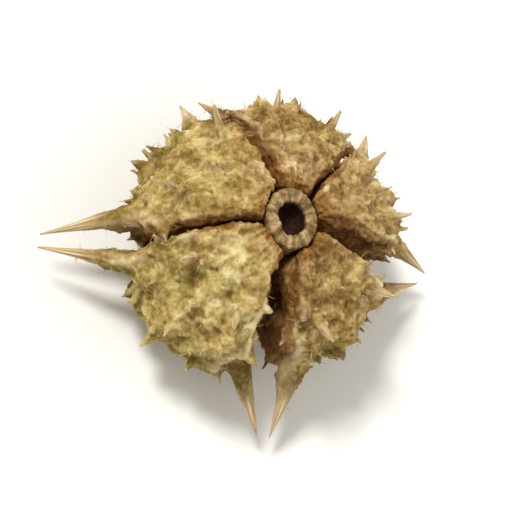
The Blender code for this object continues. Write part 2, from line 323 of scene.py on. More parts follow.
@dataclass(frozen=True)
class HuskFinish:
    """Dried fruit wall of a nutlet: a dull, fibrous husk, mottled straw, olive and tan.

    It is rough all over, paler along its raised net and browner down in its pits, partly its own
    colour and partly painted highlight and shade.
    """

    name: str = "dried_fruit_husk"
    tone_grains: tuple = ((1.5 * MM, 0.34), (0.56 * MM, 0.44), (0.15 * MM, 0.22))
    speck_grains: tuple = ((0.36 * MM, 0.6), (0.09 * MM, 0.4))
    bump_grains: tuple = ((0.14 * MM, 0.6), (0.05 * MM, 0.4))
    bump_depth: float = 0.05 * MM
    bump_strength: float = 0.75
    # How far the lightness attribute, which carries painted shade, moves the tone
    light_range: float = 0.08
    specular: float = 0.25
    roughness: tuple = (0.92, 0.74)
    # What a coat's amount is read from, where it begins and is complete, and the most of it
    amounts: tuple = (("pit", "relief", 0.36, 0.06, 0.62), ("ridge", "relief", 0.56, 0.90, 0.58),
                      ("speck", "fleck", 0.56, 0.66, 0.55), ("tip", "growth", 0.86, 1.0, 0.60))
    straw: tuple = ((0.36, "#6E5524"), (0.45, "#9B7F41"), (0.54, "#C0A766"), (0.63, "#DFCE95"))
    olive: tuple = ((0.36, "#524B1A"), (0.45, "#7E7232"), (0.54, "#A1944D"), (0.63, "#C4BB82"))
    tan: tuple = ((0.36, "#6B4725"), (0.45, "#997244"), (0.54, "#BC9867"), (0.63, "#DBBD92"))
    rust: tuple = ((0.39, "#6B3F12"), (0.50, "#97672B"), (0.60, "#B98E50"))
    # Browner pits and creases, partly the husk's own colour and partly painted shade in the hollows
    pit: tuple = ((0.40, "#452B0F"), (0.58, "#765426"))
    # Paler raised net, partly the husk's own colour and partly painted highlight
    ridge: tuple = ((0.40, "#CDB97C"), (0.58, "#EADDB2"))
    speck: tuple = ((0.40, "#60401B"), (0.60, "#7F5F2C"))
    # Pale edge between flank and back, partly its own colour and partly painted highlight, paler where
    # a cleft has sprung open
    edge: tuple = ((0.40, "#BFA674"), (0.60, "#E2D2A6"))
    horn: tuple = ((0.20, "#977548"), (0.45, "#C2A577"), (0.75, "#E6D5B1"))
    horn_tip: tuple = ((0.40, "#A98460"), (0.60, "#CBAC84"))
    # Brown of the sides in the clefts and by the stalk end, partly their own colour and partly painted
    # shade deepening down the gap
    cleft: tuple = ((0.39, "#5C3913"), (0.50, "#8E622B"), (0.60, "#B08947"))

    def build(self) -> bpy.types.Material:
        """Makes the material, which reads the nutlet's attributes."""
        material = plain_material(self.name, self.roughness[0], self.specular)
        tree = material.node_tree
        shader = tree.nodes["Principled BSDF"]
        place = add_node(tree, "ShaderNodeTexCoord").outputs["Object"]
        fleck = grains(tree, self.speck_grains, place)
        reading = {name: add_node(tree, "ShaderNodeAttribute", {"attribute_name": name}).outputs["Fac"]
                   for name in ("relief", "cleft", "growth", "horn", "fibre", "green", "tan", "rust",
                                "edge", "light")}
        # Lightness lift: the nutlet's own tone plus painted shade, read from the attribute
        tone_and_shade_lift = add_node(tree, "ShaderNodeMapRange",
                        {"To Min": -self.light_range, "To Max": self.light_range},
                        {"Value": reading["light"]}).outputs[0]
        tone = add_node(tree, "ShaderNodeMath", {"operation": "ADD"},
                        {0: grains(tree, self.tone_grains, place), 1: tone_and_shade_lift}).outputs[0]
        reading["fleck"] = fleck
        amount = {name: add_node(tree, "ShaderNodeMapRange",
                                 {"From Min": low, "From Max": high, "To Max": most},
                                 {"Value": reading[source]}).outputs[0]
                  for name, source, low, high, most in self.amounts}
        colour = paint(tree, [Coat(self.straw, tone),
                              Coat(self.olive, tone, reading["green"]),
                              Coat(self.tan, tone, reading["tan"]),
                              Coat(self.pit, fleck, amount["pit"]),
                              Coat(self.speck, tone, amount["speck"]),
                              Coat(self.ridge, tone, amount["ridge"]),
                              Coat(self.rust, tone, reading["rust"]),
                              Coat(self.edge, tone, reading["edge"]),
                              Coat(self.horn, reading["fibre"], reading["horn"]),
                              Coat(self.horn_tip, tone, amount["tip"]),
                              Coat(self.cleft, tone, reading["cleft"])])
        tree.links.new(colour, shader.inputs["Base Color"])
        dullness = add_node(tree, "ShaderNodeMapRange",
                            {"From Min": 0.35, "From Max": 0.65,
                             "To Min": self.roughness[0], "To Max": self.roughness[1]},
                            {"Value": tone}).outputs[0]
        tree.links.new(dullness, shader.inputs["Roughness"])
        bump = add_node(tree, "ShaderNodeBump",
                        {"Strength": self.bump_strength, "Distance": self.bump_depth},
                        {"Height": grains(tree, self.bump_grains, place)})
        tree.links.new(bump.outputs["Normal"], shader.inputs["Normal"])
        return material


@dataclass(frozen=True)
class StalkFinish:
    """Broken stalk fibre: dull tan round the rim, browner below, and painted shade almost black down
    the hole.
    """

    name: str = "broken_stalk_fibre"
    tone_grains: tuple = ((0.30 * MM, 0.42), (0.09 * MM, 0.30))
    streak_weight: float = 0.28
    roughness: float = 0.85
    specular: float = 0.25
    bump_strength: float = 0.8
    bump_depth: float = 0.04 * MM
    outside: tuple = ((0.40, "#5C3F1E"), (0.50, "#846236"), (0.60, "#A98A5A"))
    rim: tuple = ((0.36, "#5E4424"), (0.46, "#84673F"), (0.54, "#A2865C"), (0.64, "#BFA980"))
    # Painted shade, almost black, down the hole
    painted_hole_shade: tuple = ((0.40, "#1C0904"), (0.65, "#44200F"))

    def build(self) -> bpy.types.Material:
        """Makes the material, which reads a point's fibres, nearness to the rim, and the painted shade
        down the hole.
        """
        material = plain_material(self.name, self.roughness, self.specular)
        tree = material.node_tree
        shader = tree.nodes["Principled BSDF"]
        place = add_node(tree, "ShaderNodeTexCoord").outputs["Object"]
        reading = {name: add_node(tree, "ShaderNodeAttribute", {"attribute_name": name}).outputs["Fac"]
                   for name in ("rim", "hole_shade", "streak")}
        streak = add_node(tree, "ShaderNodeMath", {"operation": "MULTIPLY_ADD", 1: self.streak_weight},
                          {0: reading["streak"],
                           2: grains(tree, self.tone_grains, place)}).outputs[0]
        colour = paint(tree, [Coat(self.outside, streak), Coat(self.rim, streak, reading["rim"]),
                              Coat(self.painted_hole_shade, streak, reading["hole_shade"])])
        tree.links.new(colour, shader.inputs["Base Color"])
        bump = add_node(tree, "ShaderNodeBump",
                        {"Strength": self.bump_strength, "Distance": self.bump_depth},
                        {"Height": streak})
        tree.links.new(bump.outputs["Normal"], shader.inputs["Normal"])
        return material


@dataclass(frozen=True)
class BristleFinish:
    """Stiff plant hair: thin, pale and slightly glossy."""

    name: str = "stiff_plant_hair"
    shades: tuple = ((0.40, "#A58B58"), (0.60, "#DDCC9E"))
    drift: tuple = ((0.6 * MM, 1.0),)
    roughness: float = 0.5

    def build(self) -> bpy.types.Material:
        """Makes the material, with a slow change from hair to hair."""
        material = plain_material(self.name, self.roughness)
        tree = material.node_tree
        shader = tree.nodes["Principled BSDF"]
        place = add_node(tree, "ShaderNodeTexCoord").outputs["Object"]
        colour = paint(tree, [Coat(self.shades, grains(tree, self.drift, place))])
        tree.links.new(colour, shader.inputs["Base Color"])
        return material


@dataclass(frozen=True)
class Growth:
    """Horn, short spine or tooth, as the tapering shape that the skin is pulled into.

    Its root and tip are points, and thick and thin are its radii there.
    """

    kind: Kind
    root: Vector
    tip: Vector
    thick: float
    thin: float
    taper: float
    bend: Vector = field(default_factory=lambda: Vector((0.0, 0.0, 0.0)))
    tallness: float = 1.0
    blend: float = 0.12 * MM

    def middle_line(self, share: np.ndarray) -> np.ndarray:
        """Points of the bent middle line at shares of the length."""
        straight = np.array(self.root) + share[:, None] * np.array(self.tip - self.root)
        arch = np.sin(math.pi * np.clip(share, 0.0, 1.0))[:, None]
        return straight + arch * np.array(self.bend)

    def reach(self, points: np.ndarray) -> tuple[np.ndarray, np.ndarray]:
        """How far along the growth points lie, and how far beside it.

        Args:
            points: A row for each point.

        Returns:
            Shares of the length, and offsets from the middle line.
        """
        span = np.array(self.tip - self.root)
        share = (points - np.array(self.root)) @ span / (span @ span)
        return share, points - self.middle_line(share)

    def pull(self, points: np.ndarray, normals: np.ndarray,
             free: np.ndarray) -> tuple[np.ndarray, np.ndarray]:
        """Pulls the skin that the growth passes through out along it.

        Args:
            points: The skin's points.
            normals: The skin's outward normals.
            free: 1 where the skin is free to move, and 0 where it already belongs to a growth.

        Returns:
            The moved points, and how far out along the growth each one is.
        """
        length = (self.tip - self.root).length
        share, aside = self.reach(points)
        distance = np.linalg.norm(aside / np.array((1.0, 1.0, self.tallness)), axis=1)
        heading = np.array((self.tip - self.root).normalized())
        near = ((share > 0.02) & (share < 1.0) & (normals @ heading > -0.1)
                & (distance < self.thick * 1.6))
        axis_distance = max(self.thin, distance[near].min(initial=self.thick))
        closeness = np.clip((distance - axis_distance) / (self.thick - axis_distance), 0.0, 1.0)
        drawn_out = free * (1.0 - closeness ** (1.0 / self.taper))
        stretched = soft_max(share * length, drawn_out * length, self.blend) / length
        moved = np.where(near[:, None], self.middle_line(stretched) + aside, points)
        return moved, np.where(near, ease(0.0, 0.9, drawn_out - share + 0.15) * drawn_out, 0.0)


@dataclass(frozen=True)
class Clefts:
    """The five clefts between the nutlets, and what differs from one to the next.

    Azimuths are in degrees, seen from the stalk end. An opening is the angle by which a cleft
    has sprung open. The reach is the length of the horns beside it, and the turn is the angle
    by which their tips swing round.
    """

    azimuths: tuple = (-98.0, -12.5, 46.0, 110.0, 186.0)
    openings: tuple = (17.0, 16.0, 0.5, 1.0, 2.0)
    horn_reach: tuple = (0.86, 0.93, 0.90, 0.80, 1.05)
    horn_turn: tuple = (10.0, 7.5, 0.0, 0.0, -5.0)
    gap: float = 0.07 * MM
    wander: float = 0.40 * MM
    wander_pitch: float = 1.6 * MM

    def stray(self, number: int, out: np.ndarray, height: np.ndarray) -> np.ndarray:
        """Sideways course of a cleft.

        Args:
            number: Which cleft.
            out: Distances from the axis.
            height: Heights.

        Returns:
            Degrees by which the cleft lies off its azimuth there.
        """
        places = np.column_stack((out, height, np.zeros(len(out))))
        strayed = self.wander * perlin(places, self.wander_pitch, Vector((0.0, 0.0, 7.3 * number)))
        return np.degrees(strayed * ease(0.8 * MM, 2.2 * MM, out) / out)


@dataclass(frozen=True)
class WedgeForm:
    """Sizes of the wedge that every nutlet has."""

    body_radius: float = 5.65 * MM
    shoulder_z: float = 6.50 * MM
    inner_radius: float = 0.46 * MM
    socket_radius: float = 1.26 * MM
    ring_oval: tuple = (0.93, 1.08)
    socket_low_z: float = 3.9 * MM
    socket_high_z: float = 4.9 * MM
    underside_z: float = -0.16 * MM
    top_fall: float = 2.0 * MM
    bottom_rise: float = 2.0 * MM
    box_power: float = 8.5
    crest_height: float = 0.30 * MM
    crest_width: float = 0.22
    lump_height: float = 0.34 * MM
    lump_pitch: float = 0.85 * MM
    mound_height: float = 0.24 * MM
    mound_width: float = 0.46 * MM

    def on_rounded_box(self, rays: np.ndarray) -> np.ndarray:
        """Points where rays from the centre meet a box with rounded edges."""
        spread = (np.abs(rays) ** self.box_power).sum(axis=1) ** (1.0 / self.box_power)
        return rays / spread[:, None]

    def top(self, out: np.ndarray, radius: float) -> np.ndarray:
        """Height of the wedge's top at distances from the axis.

        Args:
            out: Distances from the axis.
            radius: Distance from the axis to the wedge's back.

        Returns:
            A height for each distance.
        """
        share = np.clip((out - self.inner_radius) / (radius - self.inner_radius), 0.0, 1.0)
        return self.shoulder_z - self.top_fall * share ** 2.4

    def section(self, corners: np.ndarray, radius: float,
                azimuth: np.ndarray) -> tuple[np.ndarray, np.ndarray]:
        """Where points of the rounded box lie in the wedge, seen from the side.

        Args:
            corners: Points of the rounded box.
            radius: Distance from the axis to the wedge's back.
            azimuth: Azimuth of each point in degrees.

        Returns:
            Distances from the axis, and heights.
        """
        share = (corners[:, 0] + 1.0) / 2.0
        top = self.shoulder_z - self.top_fall * share ** 2.4
        bottom = self.underside_z + self.bottom_rise * share ** 2.2
        height = mix(bottom, top, (corners[:, 2] + 1.0) / 2.0)
        turn = np.radians(azimuth)
        oval = 1.0 / np.hypot(np.cos(turn) / self.ring_oval[0], np.sin(turn) / self.ring_oval[1])
        room = self.socket_radius * oval - self.inner_radius
        socket = room * ease(self.socket_low_z, self.socket_high_z, height)
        inner = self.inner_radius + socket * (1.0 - share) ** 2
        crest = (self.crest_height * np.exp(-(corners[:, 1] / self.crest_width) ** 2)
                 * ease(0.6, 1.0, share))
        return mix(inner, radius, share) + crest, height


@dataclass
class Nutlet:
    """One nutlet (mericarp) with everything that grows on it."""

    number: int
    finish: bpy.types.Material
    hair_finish: bpy.types.Material
    centre: Vector
    size: float
    green: float
    tan: float
    tone_and_shade: float
    form: WedgeForm = field(default_factory=WedgeForm)
    clefts: Clefts = field(default_factory=Clefts)
    seed: int = 11
    cells_per_edge: int = 100
    finer_zones: tuple = (0.42, 0.20)
    horn_root: tuple = (3.8 * MM, 1.36 * MM, 3.4 * MM)
    horn_tip: tuple = (9.0 * MM, 0.29 * MM, 1.35 * MM)
    horn_radii: tuple = (1.02 * MM, 0.055 * MM)
    horn_taper: float = 1.45
    horn_tallness: float = 1.12
    horn_blend: float = 0.35 * MM
    spine_root: tuple = (3.4 * MM, 0.50, 4.8 * MM)
    spine_tip: tuple = (5.5 * MM, 6.45 * MM)
    spine_radii: tuple = (0.68 * MM, 0.05 * MM)
    spine_taper: float = 1.3
    spine_blend: float = 0.20 * MM
    tooth_height: float = 0.46 * MM
    tooth_radii: tuple = (0.42 * MM, 0.035 * MM)
    tooth_taper: float = 1.25
    tooth_blend: float = 0.09 * MM
    tooth_sink: float = 0.22 * MM
    top_tooth_height: float = 0.55
    tooth_rows: tuple = ((0.0, (78.0, 54.0, 31.0, 8.0, -16.0, -38.0)),
                         (0.42, (66.0, 42.0, 19.0, -6.0, -30.0)),
                         (-0.42, (66.0, 42.0, 19.0, -6.0, -30.0)),
                         (0.84, (72.0, 44.0, -26.0)),
                         (-0.84, (72.0, 44.0, -26.0)))
    wart_pitch: float = 0.50 * MM
    wart_height: float = 0.13 * MM
    net_pitch: float = 0.74 * MM
    net_height: float = 0.075 * MM
    grain_pitch: float = 0.24 * MM
    grain_height: float = 0.075 * MM
    fibre_height: float = 0.035 * MM
    crease_width: float = 0.42 * MM
    crease_length: float = 1.5 * MM
    crease_height: float = 0.11 * MM
    inner_lumps: float = 0.25
    cleft_evenness: float = 0.75
    edge_height: float = 0.10 * MM
    edge_paleness: tuple = (0.60, 0.78)
    sprung_openings: tuple = (5.0, 15.0)
    tooth_paleness: float = 0.45
    # Pitch and amount of each slow change of colour
    green_drift: tuple = (2.1 * MM, 0.45)
    tan_drift: tuple = (1.6 * MM, 0.55)
    rust_drift: tuple = (0.6 * MM, 0.50)
    light_drift: tuple = (1.9 * MM, 0.42)
    green_below_z: float = 3.8 * MM
    # Middle lightness, and the painted shade low down and on the sideways-facing flanks
    middle_light: float = 0.54
    low_shade: float = 0.45
    side_shade: float = 0.24
    hairs: int = 110
    hair_length: tuple = (0.20 * MM, 0.50 * MM)
    hair_radii: tuple = (0.022 * MM, 0.004 * MM)
    hair_lean: float = 0.45

    def __post_init__(self) -> None:
        """Draws the chance differences, in the order that the solids drew them."""
        following = (self.number + 1) % len(self.clefts.azimuths)
        self.name = f"mericarp_{self.number + 1}"
        self.cleft_numbers = (self.number, following)
        first = self.clefts.azimuths[self.number] + self.clefts.openings[self.number] / 2.0
        last = self.clefts.azimuths[following] - self.clefts.openings[following] / 2.0
        last += 360.0 if last < first else 0.0
        self.middle = (first + last) / 2.0
        self.half = (last - first) / 2.0
        self.draw = random.Random(self.seed + self.number)
        self.radius = self.form.body_radius * self.size * self.draw.uniform(0.99, 1.01)
        self.shift = Vector([self.draw.uniform(0.0, 50.0) for _ in range(3)])
        self.teeth = [self.tooth(across, tilt) for across, tilts in self.tooth_rows for tilt in tilts]
        self.horns = self.draw_horns()
        self.spines = self.draw_spines()

    def skin(self, corners: np.ndarray) -> np.ndarray:
        """Points of this nutlet's wedge without lumps.

        Args:
            corners: Points of the rounded box.

        Returns:
            A row for each point.
        """
        out, height = self.form.section(corners, self.radius, self.middle + corners[:, 1] * self.half)
        reach = self.half - np.degrees(np.arcsin(self.clefts.gap / 2.0 / out))
        strays = [self.clefts.stray(number, out, height) for number in self.cleft_numbers]
        turn = np.radians(self.middle + corners[:, 1] * reach
                          + mix(*strays, (corners[:, 1] + 1.0) / 2.0))
        return np.stack((out * np.cos(turn), out * np.sin(turn), height), axis=1)

    def skin_frame(self, across: float, tilt: float) -> tuple[Vector, Vector]:
        """Point of the top or back and its outward normal.

        Args:
            across: Share of half the nutlet's angle.
            tilt: Degrees above the horizontal.

        Returns:
            The point and the normal.
        """
        places = ((across, tilt), (across + 0.02, tilt), (across, tilt + 1.0))
        rays = np.array([(math.cos(math.radians(angle)), sideways, math.sin(math.radians(angle)))
                         for sideways, angle in places])
        here, beside, above = (Vector(point) for point in self.skin(self.form.on_rounded_box(rays)))
        return here, (beside - here).cross(above - here).normalized()

    def tooth(self, across: float, tilt: float) -> Growth:
        """Tooth near a place on the skin.

        Args:
            across: Share of half the nutlet's angle.
            tilt: Degrees above the horizontal.

        Returns:
            The tooth.
        """
        draw = self.draw
        foot, normal = self.skin_frame(across + draw.uniform(-0.05, 0.05),
                                       tilt + draw.uniform(-4.0, 4.0))
        lean = Vector([draw.uniform(-0.18, 0.18) for _ in range(3)])
        size = draw.uniform(0.8, 1.15)
        height = self.tooth_height * size * mix(1.0, self.top_tooth_height, ease(0.0, 80.0, tilt))
        heading = (normal + lean).normalized()
        return Growth(Kind.TOOTH, foot - heading * self.tooth_sink,
                      foot + heading * (self.form.mound_height + height),
                      self.tooth_radii[0] * size, self.tooth_radii[1], self.tooth_taper,
                      blend=self.tooth_blend)

    def draw_horns(self) -> list[Growth]:
        """Two long horns, whose tips lean towards the clefts on either side."""
        grown = []
        for number, side in zip(self.cleft_numbers, (1.0, -1.0)):
            cleft = self.clefts.azimuths[number]
            aside = polar(side, cleft + 90.0, 0.0)
            opening = self.horn_root[0] * math.sin(math.radians(self.clefts.openings[number] / 2.0))
            reach = self.horn_tip[0] * self.clefts.horn_reach[number] * self.draw.uniform(0.96, 1.04)
            tip_z = self.horn_tip[2] + self.draw.uniform(-0.5, 0.5) * MM
            root = (polar(self.horn_root[0], cleft, self.horn_root[2])
                    + aside * (self.horn_root[1] + opening))
            tip = polar(reach, cleft + self.clefts.horn_turn[number], tip_z) + aside * self.horn_tip[1]
            bend = Vector((0.0, 0.0, self.draw.uniform(0.15, 0.5) * MM))
            grown.append(Growth(Kind.HORN, root, tip, *self.horn_radii, self.horn_taper, bend,
                                self.horn_tallness, blend=self.horn_blend))
        return grown

    def draw_spines(self) -> list[Growth]:
        """Two short spines that point outwards and towards the stalk end."""
        grown = []
        for side in (1.0, -1.0):
            azimuth = self.middle + side * self.half * self.spine_root[1]
            root = polar(self.spine_root[0], azimuth, self.spine_root[2])
            reach = self.spine_tip[0] * self.draw.uniform(0.95, 1.04)
            tip_z = self.spine_tip[1] + self.draw.uniform(-0.35, 0.25) * MM
            tip = polar(reach, azimuth + side * self.draw.uniform(-2.0, 4.0), tip_z)
            grown.append(Growth(Kind.SHORT_SPINE, root, tip, *self.spine_radii, self.spine_taper,
                                blend=self.spine_blend))
        return grown

    def cage(self) -> bmesh.types.BMesh:
        """Cube net shaped into the smooth wedge, finer where horns, spines and teeth grow."""
        net = bmesh.new()
        bmesh.ops.create_cube(net, size=2.0)
        bmesh.ops.subdivide_edges(net, edges=net.edges, cuts=self.cells_per_edge - 1,
                                  use_grid_fill=True)
        smooth = self.skin(self.form.on_rounded_box(np.array([vert.co for vert in net.verts])))
        for vert, point in zip(net.verts, smooth.tolist()):
            vert.co = point
        for zone in self.finer_zones:
            self.refine(net, zone)
        bmesh.ops.triangulate(net, faces=[face for face in net.faces if len(face.verts) > 4])
        return net

    def refine(self, net: bmesh.types.BMesh, zone: float) -> None:
        """Halves the edges round the middle lines of the growths.

        Args:
            net: The wedge's net.
            zone: Width of the finer patch, as a share of a growth's thickness.
        """
        points = np.array([edge.verts[0].co for edge in net.edges])
        chosen = np.zeros(len(points), dtype=bool)
        for growth in (*self.horns, *self.spines, *self.teeth):
            share, aside = growth.reach(points)
            near = np.linalg.norm(aside, axis=1) < growth.thick * zone
            chosen |= near & (share > 0.02) & (share < 1.0)
        edges = [edge for edge, pick in zip(net.edges, chosen) if pick]
        bmesh.ops.subdivide_edges(net, edges=edges, cuts=1, use_grid_fill=True)

    def coarse_relief(self, points: np.ndarray) -> np.ndarray:
        """Height of the lumps and of the swellings under the teeth, as in the solid."""
        lump = self.form.lump_height * perlin(points, self.form.lump_pitch, self.shift)
        mound = np.zeros(len(points))
        for tooth in self.teeth:
            heading = (tooth.tip - tooth.root).normalized()
            foot = np.array(tooth.root + heading * self.tooth_sink)
            away = np.linalg.norm(points - foot, axis=1)
            mound += np.exp(-(away / self.form.mound_width) ** 2)
        return lump + self.form.mound_height * np.minimum(1.0, mound)

    def cleft_side(self, points: np.ndarray, flank: np.ndarray) -> np.ndarray:
        """How far points belong to the sides that face a cleft or the stalk end, more so deeper below
        the top: partly the sides' own brown, partly painted shade.

        Args:
            points: The smooth wedge.
            flank: How far each point's normal looks sideways, from 0 to 1.

        Returns:
            A number from 0 to 1 for each point.
        """
        out = np.linalg.norm(points[:, :2], axis=1)
        depth = self.form.top(out, self.radius) - points[:, 2]
        cleft = ease(0.60, 0.90, flank) * (1.0 - ease(4.3 * MM, 5.4 * MM, out))
        cleft *= ease(0.15 * MM, 1.3 * MM, depth)
        ring_side = (1.0 - ease(1.40 * MM, 1.75 * MM, out)) * ease(0.15 * MM, 0.8 * MM, depth)
        return np.maximum(cleft, ring_side)

    def grow(self, points: np.ndarray,
             normals: np.ndarray) -> tuple[np.ndarray, np.ndarray, np.ndarray]:
        """Pulls the horns, short spines and teeth out of the skin.

        Args:
            points: The lumpy wedge.
            normals: The smooth wedge's outward normals.

        Returns:
            The moved points, how far out along a growth each is, and the streaks along it.
        """
        growth_share = np.zeros(len(points))
        fibre = np.full(len(points), 0.5)
        for growth in (*self.horns, *self.spines, *self.teeth):
            points, along = growth.pull(points, normals, 1.0 - ease(0.08, 0.40, growth_share))
            if growth.kind is Kind.TOOTH:
                along = along * self.tooth_paleness
            else:
                fibre = np.where(along > growth_share, self.fibres(growth, points), fibre)
            growth_share = np.maximum(growth_share, along)
        return points, growth_share, fibre

    def drift(self, points: np.ndarray, sizes: tuple[float, float], place: float) -> np.ndarray:
        """Slow change over the skin.

        Args:
            points: The skin.
            sizes: Its pitch and its amount.
            place: Times the nutlet's shift at which the noise is read, so that no two are alike.

        Returns:
            A number for each point, which lies round zero.
        """
        pitch, amount = sizes
        return amount * perlin(points, pitch, self.shift * place)

    def tints(self, points: np.ndarray, out: np.ndarray, flank: np.ndarray,
              growth_share: np.ndarray) -> dict[str, np.ndarray]:
        """Slow changes of colour over the skin, with painted shade low down and on the flanks.

        Args:
            points: The finished skin.
            out: Distances from the axis on the smooth wedge.
            flank: How far each point's normal looks sideways there.
            growth_share: How far out along a growth each point is.

        Returns:
            Amounts of each tint by name, which are clipped to 0 and 1 afterwards.
        """
        height = points[:, 2]
        green = self.green + self.drift(points, self.green_drift, 1.0)
        green += 0.12 * (self.green_below_z - height) / MM
        tan = self.tan + self.drift(points, self.tan_drift, 4.0)
        tan += 0.30 * ease(0.35, 0.75, flank) + 0.45 * (1.0 - ease(1.8 * MM, 3.4 * MM, out))
        rust = ease(0.45, 0.85, flank) * (1.0 - ease(3.6 * MM, 5.0 * MM, out))
        rust = np.maximum(rust, 1.0 - ease(1.5 * MM, 2.0 * MM, out))
        rust *= 0.75 + self.drift(points, self.rust_drift, 7.0)
        # Lightness: the nutlet's own tone and drift, darkened by painted shade low down and on the
        # flanks
        light = self.middle_light + self.tone_and_shade + self.drift(points, self.light_drift, 11.0)
        light -= self.low_shade * (1.0 - ease(1.4 * MM, 5.0 * MM, height))
        light -= self.side_shade * ease(0.30, 0.75, flank)
        patchy = growth_share + 0.10 * perlin(points, 0.45 * MM, self.shift * 8.0)
        return {"green": green, "tan": tan, "rust": rust, "light": light,
                "horn": ease(0.12, 0.58, patchy)}

    def build(self) -> bpy.types.Object:
        """Makes the nutlet's fine skin, with the attributes that its finish reads."""
        piece = new_piece(self.name + "_husk", self.cage())
        mesh = piece.data
        points = read_points(mesh)
        normals = read_normals(mesh)
        out = np.linalg.norm(points[:, :2], axis=1)
        sideways = np.array(polar(1.0, self.middle + 90.0, 0.0))
        side = normals @ sideways
        flank = np.abs(side)
        cleft = self.cleft_side(points, flank)
        # Pale edge between flank and back: partly its own colour, partly painted highlight
        edge = ease(0.42, 0.58, flank) * (1.0 - ease(0.64, 0.80, flank))
        edge *= ease(2.6 * MM, 4.4 * MM, out)
        lumps = mix(self.inner_lumps, 1.0, ease(1.6 * MM, 3.4 * MM, out))
        move = normals * (self.coarse_relief(points) * lumps)[:, None]
        points += move - sideways * (move @ sideways)[:, None] * self.cleft_evenness
        points, growth_share, fibre = self.grow(points, normals)
        write_points(mesh, points)
        relief, height = self.fine_relief(points, growth_share, cleft)
        before, after = (self.clefts.openings[number] for number in self.cleft_numbers)
        sprung = ease(*self.sprung_openings, np.where(side > 0.0, after, before))
        patches = perlin(points, 1.1 * MM, self.shift * 9.0) + 0.55 * sprung
        edge *= ease(-0.30, 0.25, patches) * (1.0 - np.minimum(1.0, 2.0 * growth_share))
        height += self.edge_height * edge
        grooved = ease(0.06, 0.35, growth_share) * (1.0 - ease(0.75, 1.0, growth_share))
        height += self.fibre_height * (fibre - 0.5) * 2.0 * grooved
        points += read_normals(mesh) * height[:, None]
        points[:, 2] = np.maximum(points[:, 2], 0.0)
        values = {"relief": relief, "cleft": cleft, "growth": growth_share, "fibre": fibre,
                  "edge": edge * mix(*self.edge_paleness, sprung),
                  **self.tints(points, out, flank, growth_share)}
        write_points(mesh, points + np.array(self.centre))
        for name, amounts in values.items():
            write_attribute(mesh, name, np.clip(amounts, 0.0, 1.0))
        mesh.shade_smooth()
        mesh.materials.append(self.finish)
        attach(piece, ROOT_BODY)
        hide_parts(self.name)
        return piece

    def fibres(self, growth: Growth, points: np.ndarray) -> np.ndarray:
        """Streaks that run lengthwise along a growth, from 0 to 1."""
        share, aside = growth.reach(points)
        drawn = unit(aside) * 1.9 + share[:, None] * np.array((0.0, 0.0, 1.6))
        return 0.5 + 0.5 * perlin(drawn, 0.55, self.shift)

    def creases(self, points: np.ndarray) -> np.ndarray:
        """Shrunken folds that run from the stalk end outwards and down the back."""
        turn = np.arctan2(points[:, 1], points[:, 0]) - math.radians(self.middle)
        around = (turn + math.pi) % math.tau - math.pi
        out = np.linalg.norm(points[:, :2], axis=1)
        drawn = np.column_stack((around * self.form.body_radius * 0.7 / self.crease_width,
                                 (out - points[:, 2]) / self.crease_length, np.zeros(len(points))))
        return perlin(drawn, 1.0, self.shift * 10.0)

    def fine_relief(self, points: np.ndarray, growth: np.ndarray,
                    cleft: np.ndarray) -> tuple[np.ndarray, np.ndarray]:
        """Blunt warts, raised net and grains of the skin.

        Args:
            points: The skin with its growths.
            growth: How far out along a growth each point is.
            cleft: How far each point belongs to a cleft's side.

        Returns:
            Relief from 0 in the pits to 1 on the ridges, and its height in metres.
        """
        nearest, _ = cells(points, self.wart_pitch, self.shift * 5.0)
        wart = 1.0 - ease(0.05, 0.62, nearest)
        wart *= ease(-0.25, 0.25, perlin(points, 1.1 * MM, self.shift * 6.0))
        _, wall = cells(points, self.net_pitch, self.shift)
        net = 1.0 - ease(0.02, 0.26, wall)
        net *= ease(-0.35, 0.20, perlin(points, 1.4 * MM, self.shift * 3.0))
        grain = perlin(points, self.grain_pitch, self.shift * 2.0)
        grain += 0.5 * perlin(points, self.grain_pitch / 2.0, self.shift * 2.0)
        crease = self.creases(points)
        height = (self.wart_height * (wart - 0.3) + self.net_height * (net - 0.2)
                  + self.grain_height * grain + self.crease_height * crease)
        calm = (1.0 - ease(0.05, 0.45, growth)) * mix(1.0, 0.30, cleft)
        relief = 0.42 + 0.26 * (wart - 0.3) + 0.20 * (net - 0.2) + 0.36 * grain + 0.36 * crease
        return mix(relief, 0.5, np.clip(growth * 1.2, 0.0, 1.0)), height * calm

    def grow_hairs(self, husk: bpy.types.Object) -> bpy.types.Object:
        """Short stiff hairs, rooted in the skin of the top and back.

        Args:
            husk: The finished nutlet.

        Returns:
            The hairs, as one piece.
        """
        mesh = husk.data
        points = read_points(mesh)
        normals = read_normals(mesh)
        values = {}
        for name in ("cleft", "growth"):
            values[name] = np.empty(len(points), dtype=np.float32)
            mesh.attributes[name].data.foreach_get("value", values[name])
        out = np.linalg.norm((points - np.array(self.centre))[:, :2], axis=1)
        open_skin = np.flatnonzero((values["cleft"] < 0.05) & (values["growth"] < 0.55)
                                   & (points[:, 2] > 0.9 * MM) & (out > 3.0 * MM))
        draw = random.Random(self.seed * 100 + self.number)
        coat = bmesh.new()
        for _ in range(self.hairs):
            index = int(open_skin[draw.randrange(len(open_skin))])
            root = Vector(points[index])
            lean = Vector([draw.uniform(-self.hair_lean, self.hair_lean) for _ in range(3)])
            heading = (Vector(normals[index]) + lean).normalized()
            length = draw.uniform(*self.hair_length)
            sunk = root + heading * (length / 2.0 - 0.05 * MM)
            turned = heading.to_track_quat("Z", "Y").to_matrix().to_4x4()
            bmesh.ops.create_cone(coat, cap_ends=True, segments=3, radius1=self.hair_radii[0],
                                  radius2=self.hair_radii[1], depth=length,
                                  matrix=Matrix.Translation(sunk) @ turned)
        bmesh.ops.recalc_face_normals(coat, faces=coat.faces)
        piece = new_piece(self.name + "_hairs", coat)
        piece.data.shade_smooth()
        piece.data.materials.append(self.hair_finish)
        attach(piece, ROOT_BODY)
        return piece


